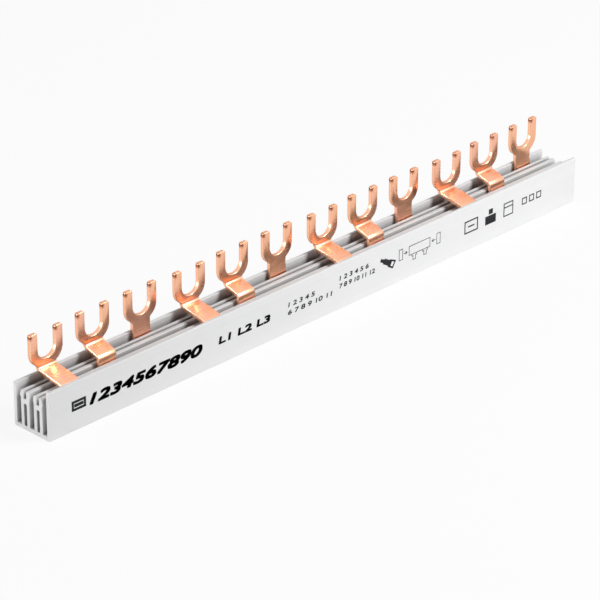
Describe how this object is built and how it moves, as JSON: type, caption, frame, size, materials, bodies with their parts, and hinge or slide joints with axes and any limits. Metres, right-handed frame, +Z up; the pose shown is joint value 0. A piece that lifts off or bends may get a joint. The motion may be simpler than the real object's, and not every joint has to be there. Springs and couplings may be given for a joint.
{
  "type": "comb busbar",
  "caption": "Fork-type comb busbar: stamped copper combs for three phases in an open grey insulating trough, for linking modular circuit breakers.",
  "frame": {"origin": "middle of the footprint, on the flat underside of the housing", "axes": "+X along the row of forks, +Y to the back wall, the printed front wall faces -Y, +Z up along the prongs"},
  "size_m": [0.216, 0.0142, 0.0265],
  "materials": {
    "grey_plastic": "matte light grey",
    "copper": "bright polished copper"
  },
  "bodies": {
    "root": {"housing": "grey_plastic", "front_comb": "copper", "middle_comb": "copper", "back_comb": "copper"}
  },
  "joints": []
}
